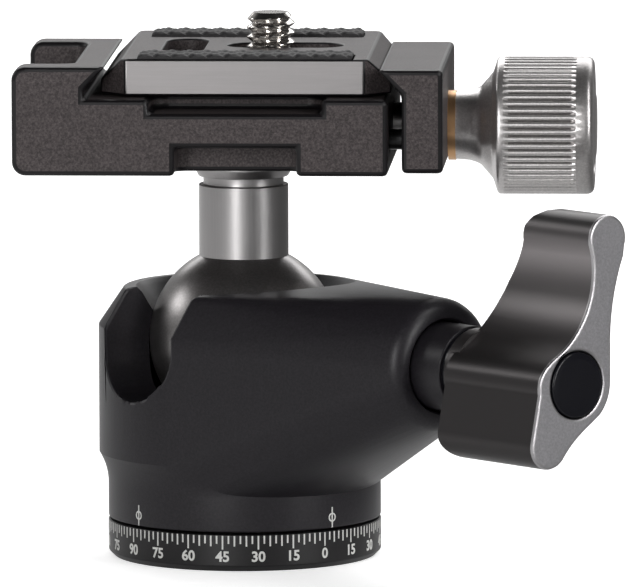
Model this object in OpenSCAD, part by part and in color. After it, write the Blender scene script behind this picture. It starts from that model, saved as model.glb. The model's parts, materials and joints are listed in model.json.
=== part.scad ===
// Low-profile tripod ball head with a panning base, a lock lever and a quick-release clamp.
// Millimetres. Z is up, and the origin is the centre of the base's bottom face.
// X runs along the jaws' travel, towards the clamp knob.

/* [Base] */
// Radius of the base plate
base_r = 18; // [17.5:0.1:18.3]
// Height of the base plate
base_h = 4.9; // [4.5:0.1:5.5]
// Chamfer round the base plate's edges
base_chamfer = 0.7; // [0.3:0.1:1]
// Radius of the 3/8 inch thread in the base
base_thread_r = 4.76; // [4.7:0.02:4.9]
// Radius of the 1/4 inch thread in the reducing insert
insert_thread_r = 3.175; // [3.1:0.025:3.3]
// Flange radius of the reducing insert
insert_flange_r = 6.4; // [6:0.1:6.8]
// Flange thickness of the reducing insert
insert_flange_h = 1; // [0.8:0.1:1.4]
// Radius of the pan spigot on the base
spigot_r = 7; // [6.9:0.1:7.4]
// Thickness of the pan glide washer
washer_h = 0.3; // [0.2:0.05:0.5]
// Outer radius of the pan nut
nut_r = 10.2; // [9.5:0.1:10.5]
// Height of the pan nut
nut_h = 1.3; // [1:0.1:1.5]

/* [Housing] */
// Radius of the housing's cylinder
body_r = 19.2; // [18.8:0.1:19.8]
// Height at which the neck starts to flare
neck_top_z = 9.6; // [9.2:0.1:11]
// Height at which the flare meets the cylinder
flare_top_z = 13.8; // [13:0.1:14.5]
// Height of the shoulder on the far side from the lever
shoulder_z = 30.7; // [30:0.1:31.2]
// Height of the socket's rim
rim_z = 35.7; // [35.3:0.1:36.1]
// Outer radius of the socket's rim
rim_r = 15.8; // [15.3:0.1:16.3]
// Radius of the socket's mouth
mouth_r = 13.6; // [13.3:0.1:14]
// Height of the mouth's edge, below the rim
mouth_z = 35.1; // [34.8:0.1:35.2]
// Height of the lip that holds the ball down
lip_z = 32.4; // [31.8:0.1:33]
// Radius of the bore that takes the retaining plug
plug_r = 14.2; // [13.8:0.1:14.8]
// Height of the retaining plug
plug_h = 4.4; // [4:0.1:4.6]
// Diameter of the plug's grub screws
plug_screw_d = 3; // [2.5:0.1:3.4]
// Depth of the grub screws' holes from the neck
plug_screw_end = 5; // [4.6:0.1:5.4]
// Width of the drop notch
notch_w = 13.9; // [13.2:0.1:14.4]
// Direction of the drop notch, in degrees from +X
notch_az = -138.5; // [-145:0.5:-132]

/* [Ball] */
// Radius of the ball
ball_r = 12.5; // [12.3:0.05:12.6]
// Height of the ball's centre
ball_z = 28.7; // [28.5:0.1:29]
// Radius of the stem
stem_r = 5.9; // [5.6:0.1:6.1]
// Radius of the stem's flange under the clamp
flange_r = 6.5; // [6.3:0.1:7]
// Height of the stem's flange
flange_h = 1.9; // [1.6:0.1:2.2]
// Width of the groove under the flange
groove_w = 1.1; // [0.8:0.1:1.3]
// Depth of the groove under the flange
groove_depth = 0.6; // [0.4:0.1:0.9]
// Top height of the ball's seat
seat_top_z = 20.5; // [20:0.1:21]
// Bottom height of the ball's seat
seat_z = 11.5; // [11.4:0.1:11.8]

/* [Lock lever] */
// Direction of the lever's axis, in degrees from +X
boss_az = -46.5; // [-49:0.5:-44]
// Radius of the boss
boss_r = 8.8; // [8.6:0.05:9]
// Rounding of the boss's end
boss_round = 2.4; // [1.8:0.1:2.5]
// Distance of the boss's end from the ball's centre
boss_end = 40.5; // [40:0.1:41]
// Depth of the boss's counterbore
boss_bore_depth = 7; // [6:0.1:8]
// Radius of the brake shoe
shoe_r = 5; // [4.8:0.1:5.2]
// Length of the brake shoe behind the ball's surface
shoe_l = 5; // [4.5:0.1:5.4]
// Radius of the lock spindle
spindle_r = 4; // [3.8:0.05:4.1]
// Outer radius of the threaded bush
bush_r = 5.9; // [5.7:0.05:6]
// Radius of the lever's collar
collar_r = 5.75; // [5.6:0.05:5.9]
// Distance of the lever's hub back from the ball's centre
hub_back = 46.5; // [46:0.1:47]
// Distance of the lever's front face from the ball's centre
lever_front = 66; // [65.5:0.1:66.5]
// Distance of the long lobe's back from the ball's centre, at its tip
lobe_back = 54.2; // [53.6:0.1:54.8]
// Rounding of the short lobe's back
tail_back_r = 3; // [2:0.1:4]
// Hub radius of the lever
hub_r = 6.4; // [6.2:0.1:6.8]
// Distance of the lever's straight side from its axis
lever_side = 5.9; // [5.7:0.1:6.2]
// Place of the long lobe's tip centre, sideways
lobe_x = 5.4; // [5:0.1:6]
// Place of the long lobe's tip centre, upwards
lobe_y = 18.4; // [17.8:0.1:19]
// Radius of the long lobe's tip
lobe_r = 3.1; // [2.8:0.1:3.4]
// Place of the short lobe's tip centre, sideways
tail_x = -4.6; // [-5.2:0.1:-4]
// Place of the short lobe's tip centre, upwards
tail_y = -7.5; // [-8.2:0.1:-6.8]
// Radius of the short lobe's tip
tail_r = 3.05; // [2.4:0.05:3.4]
// Radius of the cap in the lever's front face
cap_r = 4.55; // [4.3:0.05:4.7]
// Height of the cap above the lever's front face
cap_rise = 0.5; // [0.3:0.1:0.8]

/* [Clamp] */
// Bottom height of the clamp
clamp_z = 52.2; // [51.9:0.1:52.6]
// Height of the clamp body
clamp_h = 14.3; // [14:0.1:14.6]
// Left end of the clamp body, from the fixed jaw's undercut
clamp_left = -9.4; // [-9.8:0.1:-9]
// Right end of the clamp body, from the plate's right edge
clamp_right = -0.2; // [-0.5:0.1:0]
// Width of the clamp across the dovetail
clamp_w = 38; // [37.5:0.1:38.5]
// Height of the dovetail's floor above the clamp's bottom
floor_h = 10; // [9.8:0.1:10.1]
// Top inner edge of the fixed jaw, from the plate's flank at the same height
fixed_edge = -1.15; // [-1.35:0.05:-0.85]
// Depth of the fixed jaw's undercut
undercut = 2.9; // [2.7:0.1:3.1]
// Radius of the clamp's end corners
end_corner_r = 1.8; // [1.4:0.1:2.2]
// Length of the notch in the fixed end
end_notch_l = 7.7; // [7:0.1:8]
// Width of the notch in the fixed end
end_notch_w = 28; // [27:0.1:29]
// Depth of the notch in the fixed end
end_notch_depth = 4.5; // [4.1:0.1:5]
// Half length of the stop recess along X
stop_recess_x = 11.3; // [10.8:0.1:11.8]
// Depth of the stop recess below the dovetail's floor
stop_recess_h = 1.85; // [1.6:0.05:2.1]
// Reach of the stop recess from the clamp's side
stop_recess_y = 7.4; // [7.2:0.1:7.6]
// Corner radius of the stop recess
stop_corner_r = 2.2; // [1.5:0.1:2.8]
// Half length of the lower recess along X
low_recess_x = 7.95; // [7.6:0.05:8.2]
// Height of the lower recess
low_recess_h = 3.7; // [3.4:0.1:3.8]
// Reach of the lower recess from the clamp's side
low_recess_y = 6; // [5.5:0.1:6.2]
// Corner radius of the lower recess
low_corner_r = 1.5; // [1:0.1:2]
// Radius of the clamp's centre screw
centre_screw_r = 2.5; // [2.4:0.05:2.6]
// Length of the centre screw in the stem
centre_screw_l = 11; // [10:0.5:12]
// Head radius of the clamp's centre screw
centre_head_r = 4.25; // [4.1:0.05:4.4]
// Head height of the clamp's centre screw
centre_head_h = 4; // [3.6:0.1:4.4]

/* [Moving jaw and knob] */
// Gap between the clamp body and the moving jaw
jaw_gap = 1.8; // [1.7:0.1:2.1]
// Thickness of the moving jaw
jaw_t = 5.4; // [5.2:0.1:5.8]
// Drop of the moving jaw's top below the clamp's top
jaw_drop = 0.35; // [0.3:0.05:0.5]
// Rise of the moving jaw's bottom above the clamp's bottom
jaw_rise = 0.4; // [0.3:0.1:0.6]
// Height of the clamp screw's axis above the clamp's bottom
axis_h = 4.8; // [4.7:0.1:5]
// Radius of the clamp screw
clamp_screw_r = 3; // [2.9:0.05:3.1]
// Inner end of the clamp screw, along X
clamp_screw_x = 7.5; // [7:0.1:8.5]
// Radius of a guide pin
pin_r = 1.35; // [1.25:0.05:1.45]
// Place of a guide pin along Y
pin_y = 13; // [12.8:0.1:13.4]
// Height of a guide pin above the clamp's bottom
pin_h = 4.3; // [4.1:0.1:4.6]
// Inner end of the guide pins, along X
pin_x = 10.5; // [10:0.1:12]
// Radius of the knob's thrust washer
thrust_r = 4.6; // [4.5:0.1:5]
// Thickness of the knob's thrust washer
thrust_h = 1; // [0.8:0.1:1.2]
// Radius of the knob's grip
grip_r = 9.05; // [8.9:0.05:9.1]
// Length of the knob along its axis
knob_l = 18.2; // [17.8:0.1:18.4]
// Length of the knob's neck
knob_neck_l = 5.2; // [5:0.1:5.6]
// Radius of the knob's neck
knob_neck_r = 4.45; // [4.3:0.05:4.6]
// Edge rounding of the knob's grip
grip_round = 1.9; // [1.6:0.1:2.1]
// Radius of the knob's end cap
knob_cap_r = 6.2; // [6:0.1:6.5]
// Thickness of the knob's end cap
knob_cap_h = 1.2; // [1:0.1:1.6]

/* [Quick-release plate] */
// Length of the plate along the dovetail
plate_l = 38.2; // [37.6:0.1:38.8]
// Place of the plate's centre along the dovetail
plate_y = 2.9; // [2.8:0.1:3]
// Width of the plate across its flanks
plate_w = 38; // [37.9:0.05:38.1]
// Width of the plate's top
plate_top_w = 32.2; // [31.8:0.1:32.6]
// Place of the plate's centre across the dovetail
plate_x = 1.1; // [1:0.05:1.15]
// Thickness of the plate
plate_t = 4.75; // [4.6:0.05:5]
// Height of the plate's sides below its flanks
plate_side_h = 1.85; // [1.7:0.05:2]
// Gap under the plate
plate_gap = 0.3; // [0.2:0.05:0.4]
// Corner cut of the plate, seen from above
plate_corner = 3.4; // [2.5:0.1:4]
// Width of a rubber strip along Y
strip_w = 6; // [5.6:0.1:6.4]
// Length of a rubber strip along X
strip_l = 28; // [27:0.1:29]
// Height of a rubber strip above the plate
strip_rise = 0.75; // [0.6:0.05:0.9]
// Depth of a rubber strip's groove
strip_depth = 0.6; // [0.5:0.05:0.8]
// Place of the front strip from the plate's front end
front_strip_y = 3.2; // [3.1:0.05:3.4]
// Place of the rear strip from the plate's rear end
rear_strip_y = 5.5; // [5.2:0.1:5.8]
// Width of the coin slot along X
coin_slot_w = 5.4; // [5:0.1:5.6]
// Length of the coin slot along Y
coin_slot_l = 16.6; // [16:0.1:17]
// Place of the coin slot along X
coin_slot_x = -7.75; // [-8:0.05:-7.6]

/* [Camera screw] */
// Thread radius of the camera screw
camera_screw_r = 3.175; // [3.1:0.025:3.2]
// Height of the camera screw above the plate
camera_screw_h = 4.4; // [4:0.1:5]
// Radius of the camera screw's neck, below the thread
camera_neck_r = 2.4; // [2.2:0.05:2.6]
// Height of the neck above the plate
camera_neck_h = 0.3; // [0.2:0.05:0.4]
// Place of the camera screw along X
camera_screw_x = 3.5; // [3:0.1:5]
// First place of the screw's axis in its slot
slot_from = 1.15; // [1:0.05:1.4]
// Last place of the screw's axis in its slot
slot_to = 9.75; // [9:0.05:9.9]
// Width of the camera screw's slot
slot_w = 6.7; // [6.6:0.05:6.9]
// Head radius of the camera screw
camera_head_r = 5.1; // [5:0.05:5.15]
// Head height of the camera screw
camera_head_h = 2.3; // [2:0.05:2.4]
// Thickness of the camera screw's retaining washer
clip_h = 0.4; // [0.3:0.05:0.5]

/* [Fits] */
// Running clearance of shafts, the ball and the shoe
run_gap = 0.05; // [0.03:0.01:0.07]
// Clearance between parts that turn past each other
free_gap = 0.2; // [0.15:0.05:0.25]

/* [Hidden] */

$fn = 96;
hull_fn = 40;
cut = 1;                       // how far a cutting solid runs past a face
bore_r = ball_r + 0.1;         // bore under the socket, which lets the ball in from below
socket_r = ball_r + run_gap;
neck_r = base_r;
flare_x = body_r - neck_r;
flare_r = (pow(flare_top_z - neck_top_z, 2) + pow(flare_x, 2)) / (2 * flare_x);
lip_r = sqrt(pow(socket_r, 2) - pow(lip_z - ball_z, 2));
pan_z = base_h + washer_h;     // bottom of the housing and its plug
plug_top = pan_z + plug_h;
boss_bore = boss_end - boss_bore_depth;
boss_bore_r = collar_r + 0.35;
bush_from = ball_r + shoe_l + 1.4;
spindle_end = hub_back + 7.5;
spindle_hole_l = 9;
lever_screw_r = 2;
lever_head_r = 3.5;
lever_head_h = 3.8;
screw_ledge = 2.6;             // lever material under the lever screw's head
washer_l = 0.8;                // lever washer
cap_depth = 1.4;
stem_top = clamp_z;
plug_screw_az = [16, 76, 136];  // on the far side from the scale's index
centre_seat = 4.6;             // height of the centre screw's seat in the clamp
floor_z = clamp_z + floor_h;
end_gap = 0.6;                 // room past the ends of the screws and pins in blind holes
clamp_top = clamp_z + clamp_h;
axis_z = clamp_z + axis_h;
plate_z = floor_z + plate_gap;
plate_top = plate_z + plate_t;
plate_left = plate_x - plate_w / 2;
plate_right = plate_x + plate_w / 2;
plate_front = plate_y - plate_l / 2;
plate_rear = plate_y + plate_l / 2;
flank = (plate_w - plate_top_w) / 2;
flank_z = plate_z + plate_side_h;
flank_lean = flank / (plate_t - plate_side_h);
fixed_x = plate_left + flank_lean * (clamp_top - flank_z) + fixed_edge;
undercut_x = fixed_x - flank_lean * undercut;
left_x = undercut_x + clamp_left;
right_x = plate_right + clamp_right;
jaw_left = right_x + jaw_gap;
jaw_right = jaw_left + jaw_t;
jaw_top = clamp_top - jaw_drop;
jaw_bottom = clamp_z + jaw_rise;
knob_x = jaw_right + thrust_h;
jaw_edge = plate_right - flank_lean * (jaw_top - flank_z) + free_gap;
head_z = plate_z + 0.1;
ledge_z = head_z + camera_head_h + clip_h;

// Points of a round corner about centre c, from angle a to angle b
function arc(c, r, a, b, n = 8) = [for (i = [0:n]) let (t = a + (b - a) * i / n) c + r * [cos(t), sin(t)]];

module at_ball() { translate([0, 0, ball_z]) children(); }

// Local Z runs outwards along the lever's axis, and local Y points up
module at_lever(from = 0) {
    at_ball() rotate([0, 0, boss_az]) rotate([0, 90, 0]) rotate([0, 0, 90])
        translate([0, 0, from]) children();
}

// Local Z runs along +X on the clamp screw's axis
module at_knob(from = 0) { translate([from, 0, axis_z]) rotate([0, 90, 0]) children(); }

module ring(outer, inner, h) {
    difference() {
        cylinder(r = outer, h = h);
        translate([0, 0, -cut]) cylinder(r = inner, h = h + 2 * cut);
    }
}

// A slot with round ends, between two places along X
module round_slot(from, to, w, h) {
    for (x = [from, to]) translate([x, 0, 0]) cylinder(d = w, h = h);
    translate([from, -w / 2, 0]) cube([to - from, w, h]);
}

module base_plate() {
    color("dimgray") difference() {
        rotate_extrude() polygon([
            [0, 0], [base_r - base_chamfer, 0], [base_r, base_chamfer],
            [base_r, base_h], [spigot_r, base_h],
            [spigot_r, plug_top + free_gap + nut_h], [0, plug_top + free_gap + nut_h]
        ]);
        translate([0, 0, -cut]) cylinder(r = base_thread_r, h = plug_top + nut_h + 2 * cut + 1);
        translate([0, 0, -cut]) cylinder(r = insert_flange_r, h = insert_flange_h + cut);
    }
}

module reducing_insert() {
    color("goldenrod") difference() {
        union() {
            cylinder(r = insert_flange_r, h = insert_flange_h);
            cylinder(r = base_thread_r, h = plug_top);
        }
        translate([0, 0, -cut]) cylinder(r = insert_thread_r, h = plug_top + 2 * cut);
    }
}

module pan_washer() {
    color("ivory") translate([0, 0, base_h]) ring(plug_r - 0.4, spigot_r + free_gap, washer_h);
}

module pan_nut() {
    color("silver") translate([0, 0, plug_top + free_gap]) ring(nut_r, spigot_r, nut_h);
}

// The turned body: the neck, a hollow flare, the cylinder and a conical bevel up to the rim
module housing_turned() {
    flare_end = asin((flare_top_z - neck_top_z) / flare_r);
    rotate_extrude() polygon(concat(
        [[0, pan_z], [neck_r, pan_z]],
        arc([neck_r + flare_r, neck_top_z], flare_r, 180, 180 - flare_end, 6),
        [[body_r, shoulder_z], [rim_r, rim_z], [0, rim_z]]
    ));
}

// The web that carries the boss: it leaves the rim, the cylinder and the neck, and narrows to the boss
module housing_web() {
    sunk = 0.2;          // how far the web lies inside the turned body, away from the boss
    foot_x = 1;          // shift of the web's foot towards the boss
    web_z = flare_top_z + 4 * sunk;
    hull() {
        rotate([0, 0, boss_az]) translate([foot_x, 0, neck_top_z])
            cylinder(r = neck_r - foot_x - sunk, h = sunk);
        translate([0, 0, web_z]) cylinder(r = body_r - sunk, h = shoulder_z - web_z, $fn = 2 * hull_fn);
        translate([0, 0, shoulder_z]) cylinder(r = rim_r - sunk, h = rim_z - sunk - shoulder_z, $fn = 2 * hull_fn);
        at_lever() rotate_extrude($fn = hull_fn) polygon(concat(
            [[0, boss_end - boss_round - 1], [boss_r, boss_end - boss_round - 1]],
            arc([boss_r - boss_round, boss_end - boss_round], boss_round, 0, 90, 4),
            [[0, boss_end]]
        ));
    }
}

// The socket's mouth, wider than the lip so that the stem can lean
module housing_mouth() {
    rise = rim_z - mouth_z + 3;
    rotate_extrude() polygon([
        [0, lip_z], [lip_r, lip_z], [mouth_r, mouth_z], [mouth_r + rise, mouth_z + rise], [0, mouth_z + rise]
    ]);
}

module drop_notch() {
    at_ball() rotate([0, 0, notch_az]) {
        rotate([0, 90, 0]) cylinder(d = notch_w, h = body_r + cut);
        translate([0, -notch_w / 2, 0]) cube([body_r + cut, notch_w, rim_z - ball_z + cut]);
    }
}

module housing() {
    color("dimgray") difference() {
        union() {
            housing_turned();
            housing_web();
        }
        translate([0, 0, pan_z - cut]) cylinder(r = plug_r, h = plug_h + cut);
        translate([0, 0, pan_z]) cylinder(r = bore_r, h = ball_z - pan_z);
        at_ball() sphere(r = socket_r);
        housing_mouth();
        drop_notch();
        at_lever() cylinder(r = shoe_r + run_gap, h = bush_from + cut);
        at_lever(bush_from) cylinder(r = bush_r, h = boss_bore - bush_from + cut);
        at_lever(boss_bore) cylinder(r = boss_bore_r, h = boss_bore_depth + cut);
        plug_screw_places() plug_screw_hole();
    }
}

module retaining_plug() {
    color("silver") translate([0, 0, pan_z]) difference() {
        ring(plug_r, spigot_r + run_gap, plug_h);
        translate([0, 0, -pan_z]) plug_screw_places() plug_screw_hole();
    }
}

module plug_screw_places() {
    for (a = plug_screw_az) rotate([0, 0, a]) translate([neck_r, 0, pan_z + plug_h / 2]) rotate([0, -90, 0])
        children();
}

module plug_screw_hole() { translate([0, 0, -cut]) cylinder(d = plug_screw_d, h = plug_screw_end + cut); }

// Grub screws that lock the retaining plug in the housing
module plug_screws() {
    hex_af = 1.5;
    sunk = 0.4;
    color("black") plug_screw_places() translate([0, 0, sunk]) difference() {
        cylinder(d = plug_screw_d, h = plug_screw_end - sunk);
        translate([0, 0, -cut]) cylinder(d = hex_af / cos(30), h = 1.5 + cut, $fn = 6);
    }
}

module spindle_bush() {
    color("goldenrod") at_lever(bush_from) ring(bush_r, spindle_r + run_gap, boss_bore - bush_from);
}

module ball_seat() {
    seat_bore_r = 4.5;
    color("ivory") difference() {
        translate([0, 0, seat_z]) ring(bore_r - free_gap, seat_bore_r, seat_top_z - seat_z);
        at_ball() sphere(r = socket_r);
    }
}

// Disc spring that presses the seat up against the ball
module seat_spring() {
    inner = nut_r + 0.5;
    outer = bore_r - 0.3;
    t = 0.7;
    color("silver") rotate_extrude() polygon([
        [outer, plug_top], [outer, plug_top + t], [inner + 0.5, seat_z],
        [inner, seat_z], [inner, seat_z - t], [outer - 0.5, plug_top]
    ]);
}

module brake_shoe() {
    color("ivory") difference() {
        at_lever(ball_r - 2) cylinder(r = shoe_r, h = shoe_l + 2);
        at_ball() sphere(r = socket_r);
    }
}

module lock_spindle() {
    from = ball_r + shoe_l;
    color("silver") at_lever(from) difference() {
        cylinder(r = spindle_r, h = spindle_end - from);
        translate([0, 0, spindle_end - from - spindle_hole_l])
            cylinder(r = lever_screw_r, h = spindle_hole_l + cut);
    }
}

module lever_collar() {
    from = boss_bore + 0.8;
    color("dimgray") at_lever(from) ring(collar_r, spindle_r, hub_back - washer_l - from);
}

module lever_washer() {
    color("black") at_lever(hub_back - washer_l) ring(collar_r - 0.4, spindle_r, washer_l);
}

// The lever's outline: a long lobe on a concave waist, the hub and a short lobe
function lever_outline() =
    let (hub = [0, 0], lobe = [lobe_x, lobe_y], tail = [tail_x, tail_y])
    let (waist_r = 12, waist = lobe - [14.5, 4], side_r = 28.4, side = [lever_side + side_r, 5])
    concat(
        arc(lobe, lobe_r, -20, 190, 14),
        arc(waist, waist_r, 10, -70, 12),
        arc(hub, hub_r, 156, 190, 6),
        arc(tail, tail_r, 160, 310, 10),
        arc(hub, lever_side, -52, 0, 6),
        arc(side, side_r, 180, 157, 6)
    );

// The lever from its side: the hub's flat back, the long lobe's slanting back and the short lobe's round one
module lever_side_view() {
    low = tail_y - tail_r - cut;
    high = lobe_y + lobe_r;
    slope = (lobe_back - hub_back) / (high - hub_r);
    rotate([90, 0, 90]) linear_extrude(4 * lobe_y, center = true) polygon(concat(
        [[low, lever_front]],
        arc([tail_y - tail_r + tail_back_r, hub_back + tail_back_r], tail_back_r, 180, 270),
        [[hub_r, hub_back], [high + cut, lobe_back + slope * cut], [high + cut, lever_front]]
    ));
}

module lever_handle() {
    color("slategray") difference() {
        at_lever() intersection() {
            translate([0, 0, hub_back]) linear_extrude(lever_front - hub_back) polygon(lever_outline());
            lever_side_view();
        }
        at_lever(hub_back - cut) cylinder(r = spindle_r, h = spindle_end - hub_back + cut);
        at_lever(spindle_end - cut) cylinder(r = lever_screw_r, h = lever_front - spindle_end);
        at_lever(spindle_end + screw_ledge) cylinder(r = lever_head_r, h = lever_front - spindle_end);
        at_lever(lever_front - cap_depth) cylinder(r = cap_r, h = cap_depth + cut);
    }
}

module lever_screw() {
    hex_af = 3;
    hex_depth = 2;
    from = spindle_end - spindle_hole_l + 0.5;
    seat = spindle_end + screw_ledge;
    color("silver") at_lever() difference() {
        union() {
            translate([0, 0, from]) cylinder(r = lever_screw_r, h = seat - from + 0.1);
            translate([0, 0, seat]) cylinder(r = lever_head_r, h = lever_head_h);
        }
        translate([0, 0, seat + lever_head_h - hex_depth])
            cylinder(d = hex_af / cos(30), h = hex_depth + cut, $fn = 6);
    }
}

// A shallow dome on a short plug
module lever_cap() {
    edge = 0.4;
    color("black") at_lever(lever_front - cap_depth) rotate_extrude() polygon(concat(
        [[0, 0], [cap_r, 0], [cap_r, cap_depth + cap_rise - edge]],
        arc([cap_r - edge, cap_depth + cap_rise - edge], edge, 0, 90, 4),
        [[0, cap_depth + cap_rise]]
    ));
}

module ball_stem() {
    hole_l = centre_screw_l + end_gap;
    groove_top = stem_top - flange_h;
    rim_h = 0.8;
    color("gainsboro") difference() {
        union() {
            at_ball() sphere(r = ball_r);
            rotate_extrude() polygon([
                [0, ball_z], [stem_r, ball_z], [stem_r, groove_top - groove_w],
                [stem_r - groove_depth, groove_top - groove_w], [stem_r - groove_depth, groove_top],
                [stem_r, groove_top], [flange_r, stem_top - rim_h], [flange_r, stem_top], [0, stem_top]
            ]);
        }
        translate([0, 0, stem_top - hole_l]) cylinder(r = centre_screw_r, h = hole_l + cut);
    }
}

module clamp_recesses() {
    for (side = [0, 1]) mirror([0, side, 0]) translate([0, -clamp_w / 2, 0]) {
        recess(stop_recess_x, stop_recess_y, floor_z - stop_recess_h, stop_recess_h + cut, stop_corner_r);
        recess(low_recess_x, low_recess_y, clamp_z - cut, low_recess_h + cut, low_corner_r);
    }
}

// A pocket in the clamp's side with round inner corners, open outwards
module recess(x, y, z, h, r) {
    translate([0, 0, z]) linear_extrude(h) polygon(concat(
        [[-x, -cut], [x, -cut]],
        arc([x - r, y - r], r, 0, 90),
        arc([r - x, y - r], r, 90, 180)
    ));
}

module clamp_body() {
    r = end_corner_r;
    notch_r = 1.5;
    notch_end = left_x + end_notch_l;
    color("gray") difference() {
        rotate([90, 0, 0]) translate([0, 0, -clamp_w / 2]) linear_extrude(clamp_w) polygon(concat(
            arc([left_x + r, clamp_top - r], r, 180, 90),
            [
                [fixed_x, clamp_top], [undercut_x, clamp_top - undercut],
                [undercut_x, floor_z], [right_x, floor_z], [right_x, clamp_z]
            ],
            arc([left_x + r, clamp_z + r], r, 270, 180)
        ));
        // notch in the fixed end
        translate([0, 0, clamp_top - end_notch_depth]) linear_extrude(end_notch_depth + cut) polygon(concat(
            [[left_x - cut, -end_notch_w / 2]],
            arc([notch_end - notch_r, notch_r - end_notch_w / 2], notch_r, 270, 360),
            arc([notch_end - notch_r, end_notch_w / 2 - notch_r], notch_r, 0, 90),
            [[left_x - cut, end_notch_w / 2]]
        ));
        clamp_recesses();
        // centre screw
        translate([0, 0, clamp_z - cut]) cylinder(r = centre_screw_r, h = floor_h);
        translate([0, 0, clamp_z + centre_seat]) cylinder(r = centre_head_r + 0.15, h = floor_h);
        // clamp screw and guide pins
        at_knob(clamp_screw_x - end_gap)
            cylinder(r = clamp_screw_r + run_gap, h = right_x - clamp_screw_x + end_gap + cut);
        pin_places(pin_x - end_gap) cylinder(r = pin_r + run_gap, h = right_x - pin_x + end_gap + cut);
    }
}

module pin_places(from) {
    for (side = [-1, 1]) translate([from, side * pin_y, clamp_z + pin_h]) rotate([0, 90, 0]) children();
}

module centre_screw() {
    hex_af = 4;
    hex_depth = 2.2;
    seat = clamp_z + centre_seat;
    from = stem_top - centre_screw_l;
    color("black") difference() {
        union() {
            translate([0, 0, from]) cylinder(r = centre_screw_r, h = seat - from + 0.1);
            translate([0, 0, seat]) cylinder(r = centre_head_r, h = centre_head_h);
        }
        translate([0, 0, seat + centre_head_h - hex_depth])
            cylinder(d = hex_af / cos(30), h = hex_depth + cut, $fn = 6);
    }
}

module moving_jaw() {
    foot = jaw_left - jaw_edge;   // how far the hook reaches towards the plate
    color("gray") difference() {
        rotate([90, 0, 0]) translate([0, 0, -clamp_w / 2]) linear_extrude(clamp_w) polygon([
            [jaw_left, jaw_bottom], [jaw_right, jaw_bottom], [jaw_right, jaw_top],
            [jaw_edge, jaw_top], [jaw_left, jaw_top - foot / flank_lean]
        ]);
        at_knob(jaw_left - cut) cylinder(r = clamp_screw_r + free_gap, h = jaw_t + 2 * cut);
        pin_places(jaw_left - cut) cylinder(r = pin_r, h = jaw_t - 1.2 + cut);
    }
}

module guide_pins() {
    color("black") pin_places(pin_x) cylinder(r = pin_r, h = jaw_right - 1.2 - pin_x);
}

module clamp_screw() {
    reach = knob_x + knob_l - knob_cap_h - 2;
    color("silver") at_knob(clamp_screw_x) cylinder(r = clamp_screw_r, h = reach - clamp_screw_x);
}

module thrust_washer() {
    color("peru") at_knob(jaw_right) ring(thrust_r, clamp_screw_r + run_gap, thrust_h);
}

module clamp_knob() {
    q = grip_round;
    reach = knob_l - knob_cap_h - 2;
    swell = [0.35, 1.25];      // how much wider the neck gets, halfway and three quarters along
    color("silver") at_knob(knob_x) difference() {
        rotate_extrude() polygon(concat(
            [
                [0, 0], [knob_neck_r, 0], [knob_neck_r + swell[0], knob_neck_l / 2],
                [knob_neck_r + swell[1], knob_neck_l * 0.75]
            ],
            arc([grip_r - q, knob_neck_l + q], q, -90, 0, 6),
            arc([grip_r - q, knob_l - q], q, 0, 90, 6),
            [[0, knob_l]]
        ));
        translate([0, 0, -cut]) cylinder(r = clamp_screw_r, h = reach + cut);
        translate([0, 0, knob_l - knob_cap_h]) cylinder(r = knob_cap_r, h = knob_cap_h + cut);
    }
}

module knob_cap() {
    dome = 0.35;
    color("silver") at_knob(knob_x + knob_l - knob_cap_h) rotate_extrude() polygon([
        [0, 0], [knob_cap_r, 0], [knob_cap_r, knob_cap_h], [knob_cap_r * 0.6, knob_cap_h + dome * 0.8],
        [0, knob_cap_h + dome]
    ]);
}

// Seen from above, the plate is a rectangle with its corners cut off
module plate_outline() {
    c = plate_corner;
    polygon([
        [plate_left + c, plate_front], [plate_right - c, plate_front],
        [plate_right, plate_front + c], [plate_right, plate_rear - c],
        [plate_right - c, plate_rear], [plate_left + c, plate_rear],
        [plate_left, plate_rear - c], [plate_left, plate_front + c]
    ]);
}

module plate_body() {
    coin_half = (coin_slot_l - coin_slot_w) / 2;
    color("gray") difference() {
        intersection() {
            translate([0, plate_rear, 0]) rotate([90, 0, 0]) linear_extrude(plate_l) polygon([
                [plate_left, plate_z], [plate_right, plate_z], [plate_right, flank_z],
                [plate_right - flank, plate_top], [plate_left + flank, plate_top], [plate_left, flank_z]
            ]);
            translate([0, 0, plate_z - cut]) linear_extrude(plate_t + 2 * cut) plate_outline();
        }
        translate([0, plate_y, 0]) {
            translate([0, 0, plate_z - cut]) round_slot(slot_from, slot_to, slot_w, plate_t + 2 * cut);
            translate([0, 0, plate_z - cut])
                round_slot(slot_from, slot_to, 2 * camera_head_r + free_gap, ledge_z - plate_z + cut);
            translate([coin_slot_x, 0, plate_z - cut]) rotate([0, 0, 90])
                round_slot(-coin_half, coin_half, coin_slot_w, plate_t + 2 * cut);
        }
        strip_block(front_strip_y, plate_top - strip_depth, strip_depth + cut);
        strip_block(plate_l - rear_strip_y, plate_top - strip_depth, strip_depth + cut);
    }
}

// A strip across the plate, at a distance from its front end
module strip_block(y, z, h) {
    translate([plate_x - strip_l / 2, plate_front + y - strip_w / 2, z]) cube([strip_l, strip_w, h]);
}

module rubber_front() {
    color("black") strip_block(front_strip_y, plate_top - strip_depth, strip_depth + strip_rise);
}

module rubber_rear() {
    color("black") strip_block(plate_l - rear_strip_y, plate_top - strip_depth, strip_depth + strip_rise);
}

module screw_washer() {
    color("ivory") translate([camera_screw_x, plate_y, head_z + camera_head_h])
        ring(camera_head_r - 0.3, camera_neck_r + run_gap, clip_h);
}

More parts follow.
